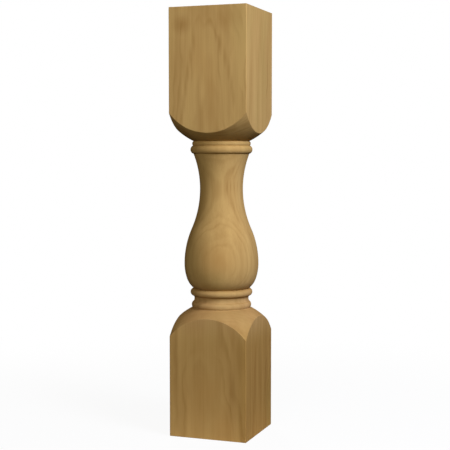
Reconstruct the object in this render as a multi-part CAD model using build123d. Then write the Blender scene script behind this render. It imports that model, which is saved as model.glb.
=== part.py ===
from build123d import *
from math import acos, asin, cos, degrees, radians, sin, sqrt
import os

# A table leg turned from one square blank of solid wood. All sizes are in millimetres.
# The origin is the centre of the foot's underside, and +Z runs up the leg's axis.
# The blank stays square at the foot and at the top, where the table's rails are fastened.
# Between the two blocks the outline is, from the foot up: a domed shoulder with a lip, a ring,
# a cove, a bead, a bulb that draws in to a slender neck, a bead, a small ring and a domed shoulder.

# The blank, whose edges are left crisp.
leg_length = 736.6
blank_width = 139.7

# Heights of the members, in order from the foot. The top block takes what is left.
foot_block_height = 173.5
lower_lip_height = 1.1
lower_ring_height = 10.9
cove_height = 9.3
lower_bead_height = 13.2
bulb_rise = 43.4
vase_height = 131.0
neck_flare_height = 60.6
upper_bead_height = 14.25
upper_ring_height = 7.75

# Diameters of the turned part. A quirk is the sharp groove where two members meet.
lower_quirk_diameter = 97.0
bulb_diameter = 129.8
neck_diameter = 75.0
upper_quirk_diameter = 97.4

# How far each small member stands out of its quirk, or lies below it.
lower_shoulder_step = 3.5
lower_lip_width = 1.3      # by which the lip on the lower shoulder draws in to the ring
lower_ring_reach = 3.75
cove_depth = 1.0
lower_bead_reach = 5.85
upper_bead_reach = 5.4
upper_groove_depth = 1.3   # between the upper bead and the ring on it, below the ring's peak
upper_ring_reach = 2.4

# How far the oval of each bead turns from its peak to its slimmer end, in degrees.
lower_ring_turn = 66.0
lower_bead_turn = 80.0
upper_bead_turn = 78.0
upper_ring_turn = 64.0

# Radii of the long curves.
shoulder_overrun = 13.9    # by how much a shoulder's radius passes the blank's corners
bulb_crown_radius = 152.3  # above the widest point of the bulb
bulb_belly_radius = 82.0   # below it
bulb_belly_drop = 26.0     # height of the belly, before it tightens towards the bead

# Both shoulders are parts of spheres that are centred on the axis. Each sphere is wider than
# the blank's corners, so it runs out on the four faces as the arched ends of the blocks.
corner_radius = blank_width / sqrt(2)
shoulder_radius = corner_radius + shoulder_overrun

# Radii at the ends of the small members.
lower_quirk_radius = lower_quirk_diameter / 2
upper_quirk_radius = upper_quirk_diameter / 2
lower_shoulder_end_radius = lower_quirk_radius + lower_shoulder_step
lower_lip_radius = lower_shoulder_end_radius - lower_lip_width
upper_groove_radius = upper_quirk_radius + upper_ring_reach - upper_groove_depth


def shoulder_height(radius):
    """Height above its sphere's centre at which a shoulder has this radius."""
    return sqrt(shoulder_radius**2 - radius**2)


# Levels, worked out by stacking the members.
lower_sphere_centre = foot_block_height - shoulder_height(corner_radius)
lower_shoulder_end = lower_sphere_centre + shoulder_height(lower_shoulder_end_radius)
lower_lip_top = lower_shoulder_end + lower_lip_height
lower_ring_top = lower_lip_top + lower_ring_height
cove_top = lower_ring_top + cove_height
lower_bead_top = cove_top + lower_bead_height
bulb_level = lower_bead_top + bulb_rise
neck_level = bulb_level + vase_height
flare_top = neck_level + neck_flare_height
upper_bead_top = flare_top + upper_bead_height
upper_ring_top = upper_bead_top + upper_ring_height
upper_sphere_centre = upper_ring_top + shoulder_height(upper_quirk_radius)


def bead(low, high, low_radius, high_radius, peak_radius, turn):
    """A bead between two levels: the outer part of an oval, which may be slimmer at one end."""
    oval_width = (peak_radius - min(low_radius, high_radius)) / (1 - cos(radians(turn)))
    centre_radius = peak_radius - oval_width
    low_turn = acos((low_radius - centre_radius) / oval_width)
    high_turn = acos((high_radius - centre_radius) / oval_width)
    oval_height = (high - low) / (sin(low_turn) + sin(high_turn))
    centre = (centre_radius, low + oval_height * sin(low_turn))
    return EllipticalCenterArc(centre, oval_width, oval_height,
                               start_angle=-degrees(low_turn), arc_size=degrees(low_turn + high_turn))


def cove():
    return ThreePointArc(
        (lower_quirk_radius, lower_ring_top),
        (lower_quirk_radius - cove_depth, (lower_ring_top + cove_top) / 2),
        (lower_quirk_radius, cove_top),
    )


def lower_shoulder():
    turn = degrees(acos(lower_shoulder_end_radius / shoulder_radius))
    return CenterArc((0, lower_sphere_centre), shoulder_radius, 0, turn)


def upper_shoulder():
    turn = degrees(acos(upper_quirk_radius / shoulder_radius))
    return CenterArc((0, upper_sphere_centre), shoulder_radius, -turn, turn)


def bulb_underside():
    """The bulb from the bead below it to its widest point: a tight heel, then the belly."""
    widest = (bulb_diameter / 2, bulb_level)
    turn = degrees(asin(bulb_belly_drop / bulb_belly_radius))
    belly = JernArc(widest, (0, -1), bulb_belly_radius, -turn)
    heel = TangentArc([belly @ 1, (lower_quirk_radius, lower_bead_top)], tangent=belly % 1)
    return [belly, heel]


def vase():
    """From the bulb's widest point to the neck: two arcs that meet without a corner."""
    narrowing = (bulb_diameter - neck_diameter) / 2
    radii_sum = (vase_height**2 + narrowing**2) / (2 * narrowing)
    turn = degrees(asin(vase_height / radii_sum))
    crown = JernArc((bulb_diameter / 2, bulb_level), (0, 1), bulb_crown_radius, turn)
    neck = JernArc(crown @ 1, crown % 1, radii_sum - bulb_crown_radius, -turn)
    return [crown, neck]


def neck_flare():
    start = (neck_diameter / 2, neck_level)
    return TangentArc([start, (upper_quirk_radius, flare_top)], tangent=(0, 1))


def outline():
    """Half of the turned outline, closed along the axis and clear of the blank's ends."""
    below = -shoulder_overrun
    above = leg_length + shoulder_overrun
    with BuildSketch(Plane.XZ) as half:
        with BuildLine():
            Polyline(
                (shoulder_radius, lower_sphere_centre),
                (shoulder_radius, below),
                (0, below),
                (0, above),
                (shoulder_radius, above),
                (shoulder_radius, upper_sphere_centre),
            )
            lower_shoulder()
            Line((lower_shoulder_end_radius, lower_shoulder_end), (lower_lip_radius, lower_lip_top))
            bead(lower_lip_top, lower_ring_top, lower_lip_radius, lower_quirk_radius,
                 lower_quirk_radius + lower_ring_reach, lower_ring_turn)
            cove()
            bead(cove_top, lower_bead_top, lower_quirk_radius, lower_quirk_radius,
                 lower_quirk_radius + lower_bead_reach, lower_bead_turn)
            bulb_underside()
            vase()
            neck_flare()
            bead(flare_top, upper_bead_top, upper_quirk_radius, upper_groove_radius,
                 upper_quirk_radius + upper_bead_reach, upper_bead_turn)
            bead(upper_bead_top, upper_ring_top, upper_groove_radius, upper_quirk_radius,
                 upper_quirk_radius + upper_ring_reach, upper_ring_turn)
            upper_shoulder()
        make_face()
    return half.sketch


def turned_leg():
    """The square blank, cut back to the turned outline."""
    blank = Box(blank_width, blank_width, leg_length, align=(Align.CENTER, Align.CENTER, Align.MIN))
    return blank & revolve(outline(), Axis.Z)


os.makedirs("parts", exist_ok=True)
leg = turned_leg()
leg.label = "turned_leg"
export_step(leg, "parts/turned_leg.step")
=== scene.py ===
from math import acos, asin, atan2, cos, hypot, radians, sin, sqrt, tan

import bpy
import numpy as np
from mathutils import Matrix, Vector


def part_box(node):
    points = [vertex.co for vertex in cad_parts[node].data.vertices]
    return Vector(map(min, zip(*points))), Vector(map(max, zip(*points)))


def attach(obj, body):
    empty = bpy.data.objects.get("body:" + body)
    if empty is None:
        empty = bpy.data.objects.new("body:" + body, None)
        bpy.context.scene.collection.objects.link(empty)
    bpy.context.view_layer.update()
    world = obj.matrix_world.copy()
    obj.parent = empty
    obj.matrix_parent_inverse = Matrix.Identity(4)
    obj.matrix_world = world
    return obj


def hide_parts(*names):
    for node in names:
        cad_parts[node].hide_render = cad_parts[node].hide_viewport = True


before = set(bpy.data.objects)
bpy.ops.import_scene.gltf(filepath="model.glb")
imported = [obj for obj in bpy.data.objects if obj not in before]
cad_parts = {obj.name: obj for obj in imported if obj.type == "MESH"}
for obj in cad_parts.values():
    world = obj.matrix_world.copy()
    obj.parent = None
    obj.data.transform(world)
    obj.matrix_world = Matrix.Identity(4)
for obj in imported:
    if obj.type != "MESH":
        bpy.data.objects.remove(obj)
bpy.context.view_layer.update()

# A table leg turned from one square blank of honey-coloured wood. The outline's sizes are in
# millimetres, as in the part's source, and MM turns them into Blender's metres.
MM = 0.001

# The blank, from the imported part.
low_corner, high_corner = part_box("turned_leg")
leg_length = (high_corner[2] - low_corner[2]) / MM
blank_width = (high_corner[0] - low_corner[0]) / MM

# Heights of the members, in order from the foot.
foot_block_height = 173.5
lower_lip_height = 1.1
lower_ring_height = 10.9
cove_height = 9.3
lower_bead_height = 13.2
bulb_rise = 43.4
vase_height = 131.0
neck_flare_height = 60.6
upper_bead_height = 14.25
upper_ring_height = 7.75

# Radii of the turned part. A quirk is the sharp groove where two members meet.
lower_quirk = 48.5
bulb_radius = 64.9
neck_radius = 37.5
upper_quirk = 48.7

# How far each small member stands out of its quirk, or lies below it.
lower_shoulder_step = 3.5
lower_lip_width = 1.3      # by which the lip on the lower shoulder draws in to the ring
lower_ring_reach = 3.75
cove_depth = 1.0
lower_bead_reach = 5.85
upper_bead_reach = 5.4
upper_groove_depth = 1.3   # between the upper bead and the ring on it, below the ring's peak
upper_ring_reach = 2.4

# How far the oval of each bead turns from its peak to its slimmer end, in degrees.
lower_ring_turn = 66.0
lower_bead_turn = 80.0
upper_bead_turn = 78.0
upper_ring_turn = 64.0

# Radii of the long curves.
shoulder_overrun = 13.9
bulb_crown_radius = 152.3
bulb_belly_radius = 82.0
bulb_belly_drop = 26.0

# The sanded edges, which the part leaves crisp, and the mesh's fineness.
edge_ease = 0.7        # along the arched ends of the blocks and round the two end faces
arris_ease = 0.9       # radius of the blank's long edges
hold = 0.6             # width of the strip that keeps a flat face's shading flat beside an eased edge
face_columns = 42      # columns across each flat face
arris_steps = 4        # steps round each long edge
ease_steps = 4         # steps over an eased arch
block_rows = 14        # rows up each block's flat faces
shoulder_steps = 30    # rows along each dome
ring_steps = 14        # rows along each ring
bead_steps = 18        # and along the other members
cove_steps = 10
bulb_steps = 14
vase_steps = 26
flare_steps = 26
cap_rings = (0.25, 0.6, 0.9)  # rings of points on an end face, as shares of the way to its edge

# Levels, stacked as in the part.
corner_radius = blank_width / sqrt(2)
shoulder_radius = corner_radius + shoulder_overrun
lower_shoulder_end_radius = lower_quirk + lower_shoulder_step
lower_lip_radius = lower_shoulder_end_radius - lower_lip_width
upper_groove = upper_quirk + upper_ring_reach - upper_groove_depth


def shoulder_height(radius):
    """Height above its sphere's centre at which a shoulder has this radius."""
    return sqrt(shoulder_radius**2 - radius**2)


lower_sphere_centre = foot_block_height - shoulder_height(corner_radius)
lower_shoulder_end = lower_sphere_centre + shoulder_height(lower_shoulder_end_radius)
lower_lip_top = lower_shoulder_end + lower_lip_height
lower_ring_top = lower_lip_top + lower_ring_height
cove_top = lower_ring_top + cove_height
lower_bead_top = cove_top + lower_bead_height
bulb_level = lower_bead_top + bulb_rise
neck_level = bulb_level + vase_height
flare_top = neck_level + neck_flare_height
upper_bead_top = flare_top + upper_bead_height
upper_ring_top = upper_bead_top + upper_ring_height
upper_sphere_centre = upper_ring_top + shoulder_height(upper_quirk)


def arc(centre, radius, start, end, steps):
    """Points (radius, height) along a circle's arc, from one angle to another in radians."""
    angles = np.linspace(start, end, steps + 1)
    return [(centre[0] + radius * cos(a), centre[1] + radius * sin(a)) for a in angles]


def arc_between(start, tangent, end, steps):
    """Points along the arc that leaves start in the tangent's direction and ends at end."""
    chord = (end[0] - start[0], end[1] - start[1])
    length = hypot(*tangent)
    normal = (-tangent[1] / length, tangent[0] / length)
    reach = (chord[0]**2 + chord[1]**2) / (2 * (chord[0] * normal[0] + chord[1] * normal[1]))
    centre = (start[0] + normal[0] * reach, start[1] + normal[1] * reach)
    first = atan2(start[1] - centre[1], start[0] - centre[0])
    last = atan2(end[1] - centre[1], end[0] - centre[0])
    return arc(centre, abs(reach), first, last, steps)


def bead(low, high, peak, turn, steps):
    """A bead from one point to another: the outer part of an oval, which may be slimmer at one end."""
    oval_width = (peak - min(low[0], high[0])) / (1 - cos(radians(turn)))
    centre_radius = peak - oval_width
    low_turn = acos((low[0] - centre_radius) / oval_width)
    high_turn = acos((high[0] - centre_radius) / oval_width)
    oval_height = (high[1] - low[1]) / (sin(low_turn) + sin(high_turn))
    centre = low[1] + oval_height * sin(low_turn)
    angles = np.linspace(-low_turn, high_turn, steps + 1)
    return [(centre_radius + oval_width * cos(a), centre + oval_height * sin(a)) for a in angles]


def cove(steps):
    """The shallow hollow between the lower ring and the bead above it."""
    middle = (lower_quirk - cove_depth, (lower_ring_top + cove_top) / 2)
    half = cove_height / 2
    radius = (half**2 + cove_depth**2) / (2 * cove_depth)
    turn = asin(half / radius)
    centre = (middle[0] + radius, middle[1])
    return arc(centre, radius, np.pi + turn, np.pi - turn, steps)


def bulb_underside(steps):
    """The tight heel above the bead, then the belly up to the bulb's widest point."""
    turn = asin(bulb_belly_drop / bulb_belly_radius)
    centre = (bulb_radius - bulb_belly_radius, bulb_level)
    belly = arc(centre, bulb_belly_radius, -turn, 0, steps)
    downwards = (-sin(turn), -cos(turn))
    heel = arc_between(belly[0], downwards, (lower_quirk, lower_bead_top), steps)
    return heel[::-1] + belly[1:]


def vase(steps):
    """From the bulb's widest point to the neck: two arcs that meet without a corner."""
    narrowing = bulb_radius - neck_radius
    radii_sum = (vase_height**2 + narrowing**2) / (2 * narrowing)
    turn = asin(vase_height / radii_sum)
    crown = arc((bulb_radius - bulb_crown_radius, bulb_level), bulb_crown_radius, 0, turn, steps)
    neck_arc = radii_sum - bulb_crown_radius
    neck = arc((neck_radius + neck_arc, neck_level), neck_arc, np.pi + turn, np.pi, steps)
    return crown + neck[1:]


def turned_outline():
    """The members between the two domes, from the foot up. Each starts where the last one ends."""
    lip = (lower_lip_radius, lower_lip_top)
    under_cove = (lower_quirk, lower_ring_top)
    over_cove = (lower_quirk, cove_top)
    under_bulb = (lower_quirk, lower_bead_top)
    over_flare = (upper_quirk, flare_top)
    groove = (upper_groove, upper_bead_top)
    under_dome = (upper_quirk, upper_ring_top)
    flare = arc_between((neck_radius, neck_level), (0, 1), over_flare, flare_steps)
    return [
        [(lower_shoulder_end_radius, lower_shoulder_end), lip],
        bead(lip, under_cove, lower_quirk + lower_ring_reach, lower_ring_turn, ring_steps),
        cove(cove_steps),
        bead(over_cove, under_bulb, lower_quirk + lower_bead_reach, lower_bead_turn, bead_steps),
        bulb_underside(bulb_steps) + vase(vase_steps)[1:] + flare[1:],
        bead(over_flare, groove, upper_quirk + upper_bead_reach, upper_bead_turn, bead_steps),
        bead(groove, under_dome, upper_quirk + upper_ring_reach, upper_ring_turn, ring_steps),
    ]


def blank_plan():
    """Points round the blank's section, anticlockwise, with its four long edges eased."""
    half = blank_width / 2
    inner = half - arris_ease
    quarter = []
    for step in range(arris_steps + 1):
        angle = radians(90) * step / arris_steps
        quarter.append((inner + arris_ease * cos(angle), inner + arris_ease * sin(angle)))
    reach = atan2(inner - hold, half)
    for angle in np.linspace(reach, -reach, face_columns):
        quarter.append((half * tan(angle), half))
    points = []
    for c, s in ((1, 0), (0, 1), (-1, 0), (0, -1)):
        points += [(x * c - y * s, x * s + y * c) for x, y in quarter]
    return np.array(points)


def bend(start, corner, end, share):
    """A point on the smooth bend from start to end that rounds off a corner."""
    return start * (1 - share)**2 + corner * 2 * share * (1 - share) + end * share**2


def shoulder_rows(edge_radius, centre, way, end_radius):
    """Rows from the last of a block's flat faces to the end of its dome. way is 1 up, -1 down."""
    first = np.arccos(edge_radius / shoulder_radius)
    last = acos(end_radius / shoulder_radius)
    eased = edge_ease / shoulder_radius

    def dome(angle):
        return shoulder_radius * np.cos(angle), centre + way * shoulder_radius * np.sin(angle)

    arch = dome(first)[1]
    on_face = arch - way * edge_ease
    on_dome = dome(first + eased)
    rows = [(edge_radius, on_face - way * hold), (edge_radius, on_face)]
    for step in range(1, ease_steps):
        share = step / ease_steps
        rows.append((bend(edge_radius, edge_radius, on_dome[0], share),
                     bend(on_face, arch, on_dome[1], share)))
    rows.append(on_dome)
    start = first + eased + hold / shoulder_radius
    for share in np.linspace(0, 1, shoulder_steps + 1):
        rows.append(dome(start + (last - start) * share))
    return rows


def block_end_rows(edge_radius, level, way):
    """Rows from the middle of a block's end face, over its eased edge, to its sides."""
    flat = np.full_like(edge_radius, level)
    inner = edge_radius - edge_ease
    rows = [(inner * share, flat) for share in cap_rings]
    rows.append((inner - hold, flat))
    for step in range(ease_steps + 1):
        share = step / ease_steps
        rows.append((bend(inner, edge_radius, edge_radius, share),
                     bend(flat, flat, flat + way * edge_ease, share)))
    rows.append((edge_radius, flat + way * (edge_ease + hold)))
    return rows


def side_rows(edge_radius, low, high):
    """Rows up the flat sides of a block, between two levels that may differ from column to column."""
    shares = np.linspace(0, 1, block_rows + 2)[1:-1]
    return [(edge_radius, low + (high - low) * share) for share in shares]


def leg_rows(edge_radius):
    """Every row of the leg's mesh, from the middle of the foot to the middle of the top.

    Also the numbers of the rows that are quirks, where the shading breaks."""
    foot = block_end_rows(edge_radius, 0.0, 1)
    lower = shoulder_rows(edge_radius, lower_sphere_centre, 1, lower_shoulder_end_radius)
    rows = foot + side_rows(edge_radius, foot[-1][1], lower[0][1]) + lower
    quirks = [len(rows) - 1]
    for member in turned_outline():
        rows += [(np.full_like(edge_radius, r), np.full_like(edge_radius, z)) for r, z in member[1:]]
        quirks.append(len(rows) - 1)
    upper = shoulder_rows(edge_radius, upper_sphere_centre, -1, upper_quirk)[::-1]
    top = block_end_rows(edge_radius, leg_length, -1)[::-1]
    rows += upper[1:] + side_rows(edge_radius, upper[-1][1], top[0][1]) + top
    return rows, quirks


def make_leg():
    """The leg as one closed mesh: rows of points up its length, in columns round its section."""
    plan = blank_plan()
    edge_radius = np.hypot(plan[:, 0], plan[:, 1])
    around = plan / edge_radius[:, None]
    rows, quirks = leg_rows(edge_radius)
    count = len(plan)
    points = [(0.0, 0.0, 0.0)]
    for radius, height in rows:
        points += np.column_stack([around * radius[:, None], height]).tolist()
    points.append((0.0, 0.0, leg_length))
    last = 1 + (len(rows) - 1) * count
    faces = []
    for column in range(count):
        beside = (column + 1) % count
        faces.append((0, 1 + beside, 1 + column))
        for row in range(len(rows) - 1):
            below = 1 + row * count
            above = below + count
            faces.append((below + column, below + beside, above + beside, above + column))
        faces.append((last + column, last + beside, len(points) - 1))
    mesh = bpy.data.meshes.new("leg")
    mesh.from_pydata([(x * MM, y * MM, z * MM) for x, y, z in points], [], faces)
    mesh.polygons.foreach_set("use_smooth", [True] * len(mesh.polygons))
    quirk_points = {1 + row * count + column for row in quirks for column in range(count)}
    for edge in mesh.edges:
        one, other = edge.vertices
        along = (one - 1) // count == (other - 1) // count
        edge.use_edge_sharp = along and one in quirk_points and other in quirk_points
    mesh.validate()
    leg = bpy.data.objects.new("leg", mesh)
    bpy.context.scene.collection.objects.link(leg)
    return leg


def node(tree, kind, inputs=None, **settings):
    """Adds a node, sets its options, and links or sets the inputs that are given."""
    made = tree.nodes.new(kind)
    for name, value in settings.items():
        setattr(made, name, value)
    for key, value in (inputs or {}).items():
        if isinstance(value, bpy.types.NodeSocket):
            tree.links.new(value, made.inputs[key])
        else:
            made.inputs[key].default_value = value
    return made


def calc(tree, operation, one, other=0.0):
    """Works out one number from two."""
    return node(tree, "ShaderNodeMath", {0: one, 1: other}, operation=operation).outputs[0]


def vector_calc(tree, operation, one, other=(0.0, 0.0, 0.0)):
    """Works out one vector from two."""
    return node(tree, "ShaderNodeVectorMath", {0: one, 1: other}, operation=operation).outputs[0]


def ramp(tree, value, stops, interpolation="EASE"):
    """A ramp from (position, colour) pairs, where a colour may be a single grey."""
    made = node(tree, "ShaderNodeValToRGB", {"Fac": value})
    made.color_ramp.interpolation = interpolation
    elements = made.color_ramp.elements
    while len(elements) < len(stops):
        elements.new(0.5)
    for element, (position, colour) in zip(elements, stops):
        element.position = position
        element.color = (colour,) * 3 + (1,) if isinstance(colour, (int, float)) else (*colour, 1)
    return made.outputs["Color"]


def fade(tree, value, span, start, end):
    """Goes smoothly from start to end while the value crosses the span."""
    return node(tree, "ShaderNodeMapRange", {
        "Value": value, "From Min": span[0], "From Max": span[1], "To Min": start, "To Max": end,
    }, interpolation_type="SMOOTHSTEP").outputs[0]


def mixed(tree, share, one, other, blend="MIX"):
    """Mixes two colours. They are the node's inputs 6 and 7, and its output 2 is the mix."""
    made = node(tree, "ShaderNodeMix", data_type="RGBA", blend_type=blend)
    for key, value in ((0, share), (6, one), (7, other)):
        if isinstance(value, bpy.types.NodeSocket):
            tree.links.new(value, made.inputs[key])
        elif isinstance(value, tuple):
            made.inputs[key].default_value = (*value, 1)
        else:
            made.inputs[key].default_value = value
    return made.outputs[2]


# Growth rings of the solid wood. The pith lies outside the blank, behind the face that the
# photograph shows widest, so that face is flat-sawn and the one beside it has straight grain.
# The pith sways along the trunk, and each ring is a little wider at the top. Sizes in metres.
pith_depth = 0.082
pith_middle = -0.0095
pith_sway = 0.0125
sway_length = 0.686
sway_crest = 0.640
ring_width = 0.0056
ring_taper = 0.040
bend_size = 0.010          # how far the slow bends of the trunk shift its rings
wave_size = 0.0016         # and the small waves
year_wander = 2.2          # how many rings' width the years drift out of step
year_waves = 0.4           # waves of that drift, for each ring
band_waves = 0.31          # waves of the broad bands, for each ring, and their detail
band_detail = 2.0
weakest_year = 0.25        # strength of the faintest late wood, where 1 is the strongest

# Each noise of the grain: waves to the metre along X, Y and Z, detail, roughness and offset.
# Every noise goes from 0 to 1 about its middle.
noise_middle = 0.5
grain = {
    "bends": ((14.0, 14.0, 7.0), 2.0, 0.5, (1.3, 5.2, 8.1)),
    "waves": ((60.0, 60.0, 16.0), 2.0, 0.5, (4.4, 0.7, 2.9)),
    "strokes": ((42.0, 42.0, 9.0), 2.0, 0.5, (2.0, 6.0, 1.0)),
    "mottle": ((48.0, 48.0, 5.0), 3.0, 0.5, (0.0, 4.0, 2.0)),
    "streaks": ((170.0, 170.0, 3.0), 2.0, 0.5, (5.0, 1.0, 3.0)),
    "fibres": ((620.0, 620.0, 11.0), 4.0, 0.65, (0.0, 0.0, 0.0)),
    "flecks": ((900.0, 900.0, 30.0), 1.0, 0.5, (7.0, 3.0, 1.0)),
    "clouds": ((9.0, 9.0, 4.5), 2.0, 0.5, (9.0, 2.0, 5.0)),
}

# Ramps over one year's growth and over the noises, as (position, level) pairs.
season_stops = ((0.0, 0.0), (0.35, 0.12), (0.74, 1.0), (1.0, 0.0))
stroke_stops = ((0.36, 0.15), (0.62, 1.0))
fleck_stops = ((0.62, 0.0), (0.74, 1.0))
warm_stops = ((0.5, 0.0), (0.78, 1.0))
olive_stops = ((0.25, 1.0), (0.46, 0.0))

# How much each part of the grain darkens the wood.
ground_darkness = 0.24
line_weight = 0.5
band_weight = 0.6
fleck_weight = 0.12
mottle_weight = 0.85
fine_weight = 0.5
fine_on_end_grain = 0.3    # share of the fine streaks that is left where the surface lies level

# Colours of the wood, linear. The tints multiply the colour; two of them are painted highlight and
# painted shade.
early_wood = (0.56, 0.36, 0.132)
late_wood = (0.375, 0.21, 0.066)
heart_wood = (0.50, 0.275, 0.085)
olive_wood = (0.46, 0.33, 0.11)
heart_share = 0.42         # of the heart wood's colour in the warm clouds
heart_patch_share = 0.5    # and in the bulb's warm patch
most_heart = 0.9
olive_share = 0.35         # of the olive colour in the cool clouds
# Painted shade: the foot darker and deeper gold towards its bottom, where less light falls.
painted_foot_shade_tint = (0.74, 0.67, 0.53)
# Painted highlight: a paler, bluer colour round the lower dome and the members by it.
painted_highlight_tint = (1.03, 0.985, 1.12)
end_grain_tint = (0.77, 0.715, 0.59)

# Soft marks that run a little way through the wood, and some painted light and shade: their middle,
# their half sizes along X, Y and Z, and how much darker they are. Those below zero are paler than the
# wood round them.
marks = (
    # The upper block: its tone from place to place.
    ((-0.046, -0.070, 0.706), (0.026, 0.040, 0.022), 0.55),
    ((0.038, -0.070, 0.712), (0.040, 0.040, 0.030), 0.22),
    ((0.000, -0.070, 0.725), (0.085, 0.040, 0.036), 0.18),
    ((0.000, -0.070, 0.618), (0.062, 0.040, 0.066), -0.14),
    ((-0.045, -0.070, 0.650), (0.032, 0.040, 0.085), 0.20),
    ((0.056, -0.070, 0.660), (0.030, 0.030, 0.090), -0.30),
    ((0.068, -0.062, 0.630), (0.022, 0.024, 0.130), -0.28),
    ((0.070, 0.035, 0.640), (0.030, 0.055, 0.130), 0.18),
    ((0.003, -0.070, 0.600), (0.005, 0.030, 0.022), 0.12),
    ((-0.009, -0.070, 0.592), (0.009, 0.030, 0.036), -0.42),
    # The inverted V of grain on its wide face: the left stroke from its top down, then the right.
    ((-0.0235, -0.070, 0.676), (0.0045, 0.030, 0.026), 0.30),
    ((-0.0300, -0.070, 0.652), (0.0045, 0.030, 0.026), 0.38),
    ((-0.0350, -0.070, 0.626), (0.0045, 0.030, 0.026), 0.38),
    ((-0.0390, -0.070, 0.600), (0.0045, 0.030, 0.026), 0.34),
    ((-0.0425, -0.070, 0.574), (0.0050, 0.030, 0.026), 0.34),
    ((-0.0460, -0.070, 0.550), (0.0050, 0.030, 0.026), 0.34),
    ((0.0160, -0.070, 0.694), (0.0045, 0.030, 0.026), 0.34),
    ((0.0235, -0.070, 0.672), (0.0050, 0.030, 0.026), 0.42),
    ((0.0320, -0.070, 0.650), (0.0050, 0.030, 0.026), 0.42),
    ((0.0390, -0.070, 0.628), (0.0045, 0.030, 0.026), 0.38),
    ((0.0440, -0.070, 0.604), (0.0045, 0.030, 0.026), 0.34),
    ((0.0475, -0.070, 0.580), (0.0045, 0.030, 0.026), 0.28),
    # Four lines on the neck.
    ((0.0215, -0.0307, 0.430), (0.002, 0.002, 0.016), 0.40),
    ((0.0268, -0.0262, 0.432), (0.002, 0.002, 0.016), 0.40),
    ((0.0311, -0.0210, 0.430), (0.002, 0.002, 0.016), 0.40),
    ((0.0344, -0.0149, 0.434), (0.002, 0.002, 0.016), 0.35),
    # Paler in the neck, and painted light on the bulb's shaded left side and on the small ring under
    # the upper dome.
    ((0.000, -0.030, 0.440), (0.090, 0.070, 0.075), -0.16),
    ((-0.035, -0.045, 0.300), (0.030, 0.030, 0.045), -0.30),
    ((0.030, -0.035, 0.508), (0.055, 0.060, 0.013), -0.32),
    # Painted shade on the lower dome's left side, away from the lamps.
    ((-0.030, -0.045, 0.200), (0.060, 0.050, 0.032), 0.32),
    # The foot block: a streak on its wide face, and a painted highlight along its front edge.
    ((0.042, -0.070, 0.090), (0.006, 0.030, 0.090), 0.22),
    ((0.067, -0.070, 0.105), (0.013, 0.012, 0.130), -0.45),
    # Its narrow face: painted shade, paler above and darker below, then its pale stripes and its dark
    # ones.
    ((0.070, 0.000, 0.170), (0.030, 0.090, 0.080), -0.22),
    ((0.070, 0.030, 0.040), (0.030, 0.060, 0.070), 0.14),
    ((0.070, -0.041, 0.100), (0.030, 0.009, 0.130), -0.20),
    ((0.070, -0.011, 0.100), (0.030, 0.009, 0.130), -0.20),
    ((0.070, 0.020, 0.100), (0.030, 0.007, 0.130), -0.30),
    ((0.070, 0.052, 0.100), (0.030, 0.009, 0.130), -0.22),
    ((0.070, -0.024, 0.100), (0.030, 0.006, 0.110), 0.22),
    ((0.070, 0.005, 0.095), (0.030, 0.007, 0.110), 0.26),
    ((0.070, 0.035, 0.080), (0.030, 0.007, 0.120), 0.34),
)

# Soft patches of another kind, as a middle and half sizes: heart wood in the bulb, calm wood
# without lines a little lower, and a painted highlight, paler and bluer, round the members between the
# bulb and the foot.
heart_patch = ((0.014, -0.064, 0.306), (0.044, 0.05, 0.048))
calm_patch = ((0.0, -0.066, 0.272), (0.075, 0.05, 0.042))
painted_highlight_patch = ((0.0, -0.02, 0.225), (0.20, 0.20, 0.062))

# Between these heights the foot's painted shade comes in, a deeper gold from the upper one down.
# Across the foot its share goes from the first to the second between these widths along X, and so
# the painted shade is about twice as deep on the face towards +X.
foot_shade_heights = (0.215, 0.155)
foot_shade_widths = (0.045, 0.07)
foot_shade_shares = (0.46, 0.95)

# How level a surface is, from 0 on the sides to 1 on the ends: where the streaks fade out, and
# where the darker end grain comes in.
streak_slopes = (0.35, 0.8)
end_grain_slopes = (0.45, 1.2)

# The sanded surface is matt, with a fine relief along the fibres and no mirror light.
specular_level = 0.0
smoothest = 0.44
fibre_roughness = 0.2
fibre_relief = 0.6
line_relief = 0.4
relief_strength = 0.2
relief_depth = 0.0003


def grain_noise(tree, place, name):
    """One of the grain's noises through the wood."""
    waves, detail, roughness, offset = grain[name]
    moved = vector_calc(tree, "ADD", vector_calc(tree, "MULTIPLY", place, waves), offset)
    inputs = {"Vector": moved, "Scale": 1.0, "Detail": detail, "Roughness": roughness}
    return node(tree, "ShaderNodeTexNoise", inputs).outputs


def line_noise(tree, value, scale, detail=1.0):
    """Noise along one number."""
    inputs = {"W": calc(tree, "MULTIPLY", value, scale), "Scale": 1.0, "Detail": detail}
    return node(tree, "ShaderNodeTexNoise", inputs, noise_dimensions="1D").outputs[0]


def shift_across(tree, place, name, size):
    """Noise as a shift across the trunk, of up to this size to either side."""
    noise = grain_noise(tree, place, name)["Color"]
    shift = vector_calc(tree, "SUBTRACT", noise, (noise_middle,) * 3)
    return vector_calc(tree, "MULTIPLY", shift, (size * 2, size * 2, 0.0))


def patch(tree, place, middle, size):
    """1 in the middle of a soft oval patch, 0 at its rim and beyond."""
    offset = vector_calc(tree, "DIVIDE", vector_calc(tree, "SUBTRACT", place, middle), size)
    reach = node(tree, "ShaderNodeVectorMath", {0: offset}, operation="LENGTH").outputs["Value"]
    return fade(tree, reach, (0.0, 1.0), 1.0, 0.0)


def weighted(tree, part, weight):
    """A part of the grain times its weight."""
    return calc(tree, "MULTIPLY", part, weight)


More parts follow.
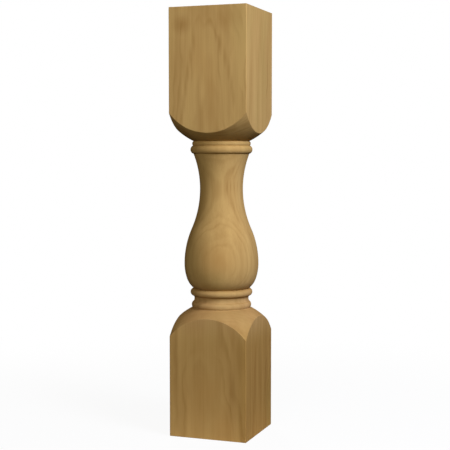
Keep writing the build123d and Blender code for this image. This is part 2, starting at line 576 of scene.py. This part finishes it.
def ring_distance(tree, place):
    """Distance from the pith, with the bends and waves of a grown trunk."""
    height = node(tree, "ShaderNodeSeparateXYZ", {0: place}).outputs["Z"]
    above_crest = calc(tree, "SUBTRACT", height, sway_crest)
    phase = weighted(tree, above_crest, 2 * np.pi / sway_length)
    pith_x = calc(tree, "ADD", weighted(tree, calc(tree, "COSINE", phase), pith_sway), pith_middle)
    pith = node(tree, "ShaderNodeCombineXYZ", {"X": pith_x, "Y": pith_depth, "Z": height}).outputs[0]
    across = vector_calc(tree, "SUBTRACT", place, pith)
    across = vector_calc(tree, "ADD", across, shift_across(tree, place, "bends", bend_size))
    across = vector_calc(tree, "ADD", across, shift_across(tree, place, "waves", wave_size))
    distance = node(tree, "ShaderNodeVectorMath", {0: across}, operation="LENGTH").outputs["Value"]
    return calc(tree, "ADD", distance, weighted(tree, height, ring_taper))


def growth_rings(tree, place):
    """The thin lines of late wood, and the broad bands of many years' growth about their middle."""
    growth = calc(tree, "DIVIDE", ring_distance(tree, place), ring_width)
    drift = weighted(tree, line_noise(tree, growth, year_waves), year_wander)
    growth = calc(tree, "ADD", growth, drift)
    season = ramp(tree, calc(tree, "FRACT", growth), season_stops)
    number = calc(tree, "FLOOR", growth)
    year = node(tree, "ShaderNodeTexWhiteNoise", {"W": number}, noise_dimensions="1D")
    strength = weighted(tree, year.outputs["Value"], 1.0 - weakest_year)
    strength = calc(tree, "ADD", strength, weakest_year)
    strokes = ramp(tree, grain_noise(tree, place, "strokes")[0], stroke_stops)
    calm = calc(tree, "SUBTRACT", 1.0, patch(tree, place, *calm_patch))
    lines = calc(tree, "MULTIPLY", calc(tree, "MULTIPLY", season, strength),
                 calc(tree, "MULTIPLY", strokes, calm))
    broad = line_noise(tree, growth, band_waves, band_detail)
    bands = calc(tree, "SUBTRACT", broad, noise_middle)
    return lines, bands


def mark_darkness(tree, place):
    """How much darker or paler the marks make the wood at a place."""
    total = 0.0
    for middle, size, strength in marks:
        total = calc(tree, "ADD", total, weighted(tree, patch(tree, place, middle, size), strength))
    return total


def grain_darkness(tree, place, lines, bands, fibres, level):
    """How dark the grain makes the wood: 0 is early wood, 1 is late wood."""
    darkness = calc(tree, "ADD", mark_darkness(tree, place), ground_darkness)
    flecks = ramp(tree, grain_noise(tree, place, "flecks")[0], fleck_stops)
    for part, weight in ((lines, line_weight), (bands, band_weight), (flecks, fleck_weight)):
        darkness = calc(tree, "ADD", darkness, weighted(tree, part, weight))
    fine = weighted(tree, fade(tree, level, streak_slopes, 1.0, fine_on_end_grain), fine_weight)
    mottle = grain_noise(tree, place, "mottle")[0]
    streaks = grain_noise(tree, place, "streaks")[0]
    for part, weight in ((mottle, mottle_weight), (streaks, fine), (fibres, fine)):
        swing = weighted(tree, calc(tree, "SUBTRACT", part, noise_middle), weight)
        darkness = calc(tree, "ADD", darkness, swing)
    return darkness


def wood_colour(tree, place, darkness, level):
    """Early and late wood, the warm and olive tones over them, then a pale painted highlight and the
    foot's golden painted shade.
    """
    colour = mixed(tree, darkness, early_wood, late_wood)
    clouds = grain_noise(tree, place, "clouds")[0]
    heart = calc(tree, "ADD", weighted(tree, ramp(tree, clouds, warm_stops), heart_share),
                 weighted(tree, patch(tree, place, *heart_patch), heart_patch_share))
    colour = mixed(tree, calc(tree, "MINIMUM", heart, most_heart), colour, heart_wood)
    olive = weighted(tree, ramp(tree, clouds, olive_stops), olive_share)
    colour = mixed(tree, olive, colour, olive_wood)
    # Painted highlight: paler and bluer round the lower dome and the members by it.
    colour = mixed(tree, patch(tree, place, *painted_highlight_patch), colour, painted_highlight_tint, "MULTIPLY")
    # Painted shade on the foot: deeper gold towards its bottom and on its face towards +X.
    along = node(tree, "ShaderNodeSeparateXYZ", {0: place}).outputs
    foot = calc(tree, "MULTIPLY", fade(tree, along["Z"], foot_shade_heights, 0.0, 1.0),
                fade(tree, along["X"], foot_shade_widths, *foot_shade_shares))
    colour = mixed(tree, foot, colour, painted_foot_shade_tint, "MULTIPLY")
    end_grain = fade(tree, level, end_grain_slopes, 0.0, 1.0)
    return mixed(tree, end_grain, colour, end_grain_tint, "MULTIPLY")


def wood_material():
    """Solid wood whose rings, fibres and end grain run through the whole leg."""
    material = bpy.data.materials.new("honey_wood")
    material.use_nodes = True
    tree = material.node_tree
    tree.nodes.clear()
    place = node(tree, "ShaderNodeTexCoord").outputs["Object"]
    normal = node(tree, "ShaderNodeNewGeometry").outputs["True Normal"]
    level = calc(tree, "ABSOLUTE", node(tree, "ShaderNodeSeparateXYZ", {0: normal}).outputs["Z"])
    lines, bands = growth_rings(tree, place)
    fibres = grain_noise(tree, place, "fibres")[0]
    darkness = grain_darkness(tree, place, lines, bands, fibres, level)
    roughness = calc(tree, "ADD", weighted(tree, fibres, fibre_roughness), smoothest)
    relief = calc(tree, "SUBTRACT", weighted(tree, fibres, fibre_relief),
                  weighted(tree, lines, line_relief))
    bump = node(tree, "ShaderNodeBump", {
        "Height": relief, "Strength": relief_strength, "Distance": relief_depth,
    })
    shader = node(tree, "ShaderNodeBsdfPrincipled", {
        "Base Color": wood_colour(tree, place, darkness, level), "Roughness": roughness,
        "Normal": bump.outputs[0], "Specular IOR Level": specular_level,
    })
    node(tree, "ShaderNodeOutputMaterial", {"Surface": shader.outputs[0]})
    return material


def background_ray(tree):
    """1 for rays that should see the plain background: camera, mirror and glass rays."""
    rays = node(tree, "ShaderNodeLightPath").outputs
    seen = calc(tree, "MAXIMUM", rays["Is Camera Ray"], rays["Is Glossy Ray"])
    return calc(tree, "MAXIMUM", seen, rays["Is Transmission Ray"])


floor_size = 12.0
floor_grey = 0.9           # the floor's colour to the camera
floor_near_bounce = 0.75   # and to all other rays, close to the leg
floor_far_bounce = 0.02    # and further away
floor_bounce_fade = (0.07, 0.25)  # distances from the leg between which one turns into the other
floor_white = 0.93         # share of plain white that a camera ray sees beside the leg
floor_fade = (0.25, 1.1)   # distances from the leg between which the floor turns plain white


def floor_material():
    """A pale matt floor that keeps the leg's shadow and turns into the white background."""
    material = bpy.data.materials.new("pale_floor")
    material.use_nodes = True
    tree = material.node_tree
    tree.nodes.clear()
    place = node(tree, "ShaderNodeTexCoord").outputs["Object"]
    distance = node(tree, "ShaderNodeVectorMath", {0: place}, operation="LENGTH").outputs["Value"]
    white_share = fade(tree, distance, floor_fade, floor_white, 1.0)
    share = calc(tree, "MULTIPLY", white_share, background_ray(tree))
    bounce = fade(tree, distance, floor_bounce_fade, floor_near_bounce, floor_far_bounce)
    seen = node(tree, "ShaderNodeLightPath").outputs["Is Camera Ray"]
    grey = mixed(tree, seen, bounce, (floor_grey,) * 3)
    matt = node(tree, "ShaderNodeBsdfDiffuse", {"Color": grey})
    white = node(tree, "ShaderNodeEmission", {"Color": (1, 1, 1, 1), "Strength": 1.0})
    both = node(tree, "ShaderNodeMixShader", {0: share, 1: matt.outputs[0], 2: white.outputs[0]})
    node(tree, "ShaderNodeOutputMaterial", {"Surface": both.outputs[0]})
    return material


def make_floor():
    half = floor_size / 2
    mesh = bpy.data.meshes.new("floor")
    corners = [(-half, -half, 0), (half, -half, 0), (half, half, 0), (-half, half, 0)]
    mesh.from_pydata(corners, [], [(0, 1, 2, 3)])
    mesh.materials.append(floor_material())
    floor = bpy.data.objects.new("floor", mesh)
    bpy.context.scene.collection.objects.link(floor)


# The world's dim warm light. The camera sees plain white in its place.
fill_colour = (1.0, 0.8, 0.55)
fill_strength = 0.012


def make_world():
    """Dim warm light from all round, behind a background that is plain white to the camera."""
    world = bpy.data.worlds.new("studio")
    world.use_nodes = True
    bpy.context.scene.world = world
    tree = world.node_tree
    tree.nodes.clear()
    fill = node(tree, "ShaderNodeBackground", {"Color": (*fill_colour, 1), "Strength": fill_strength})
    white = node(tree, "ShaderNodeBackground", {"Color": (1, 1, 1, 1), "Strength": 1.0})
    both = node(tree, "ShaderNodeMixShader", {
        0: background_ray(tree), 1: fill.outputs[0], 2: white.outputs[0],
    })
    node(tree, "ShaderNodeOutputWorld", {"Surface": both.outputs[0]})


def around_leg(azimuth, elevation, distance, height):
    """A point at this distance from the axis's point at a height. Azimuth 0 is -Y, 90 is +X."""
    a, e = radians(azimuth), radians(elevation)
    return Vector((sin(a) * cos(e), -cos(a) * cos(e), sin(e))) * distance + Vector((0, 0, height))


# Softboxes: azimuth and elevation in degrees, distance in metres, power in watts, and colour.
softboxes = {
    "key": (61.0, 31.0, 2.2, 28.2, (0.97, 1.0, 1.15)),
    "high": (71.0, 42.0, 2.2, 17.8, (0.97, 1.0, 1.15)),
    "front": (1.0, 18.0, 2.2, 15.1, (1.0, 0.97, 0.83)),
    "back": (212.0, 6.0, 2.2, 30.0, (1.0, 0.98, 0.94)),
}
softbox_height = 0.3       # of the point on the axis that they face
softbox_size = 0.8         # diameter of each


def make_softbox(name, azimuth, elevation, distance, power, colour):
    """A round softbox that faces the leg's bulb."""
    lamp = bpy.data.lights.new(name, "AREA")
    lamp.shape = "DISK"
    lamp.size = softbox_size
    lamp.energy = power
    lamp.color = colour
    box = bpy.data.objects.new(name, lamp)
    box.location = around_leg(azimuth, elevation, distance, softbox_height)
    aim = Vector((0, 0, softbox_height)) - box.location
    box.rotation_mode = "QUATERNION"
    box.rotation_quaternion = aim.to_track_quat("-Z", "Y")
    bpy.context.scene.collection.objects.link(box)


# The camera, solved from the corners of the blank in the photograph, in degrees and metres.
camera_azimuth = 20.367
camera_distance = 1.9116
camera_height = 0.48836
camera_turn = -0.185
camera_tilt = -3.7165
photo_width = 450
photo_focal_length = 1093.1  # in pixels of the photograph
sensor_width = 36.0


def make_camera():
    """The photograph's camera, without depth of field."""
    data = bpy.data.cameras.new("camera")
    data.sensor_width = sensor_width
    data.lens = photo_focal_length / photo_width * sensor_width
    data.dof.use_dof = False
    camera = bpy.data.objects.new("camera", data)
    camera.location = around_leg(camera_azimuth, 0, camera_distance, camera_height)
    heading, tilt = radians(camera_azimuth + camera_turn), radians(camera_tilt)
    forward = Vector((-sin(heading) * cos(tilt), cos(heading) * cos(tilt), sin(tilt)))
    camera.rotation_mode = "QUATERNION"
    camera.rotation_quaternion = forward.to_track_quat("-Z", "Y")
    bpy.context.scene.collection.objects.link(camera)
    bpy.context.scene.camera = camera


leg = make_leg()
leg.data.materials.append(wood_material())
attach(leg, "root")
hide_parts("turned_leg")

make_floor()
make_world()
for name, values in softboxes.items():
    make_softbox(name, *values)
make_camera()
bpy.context.scene.view_settings.view_transform = "Standard"
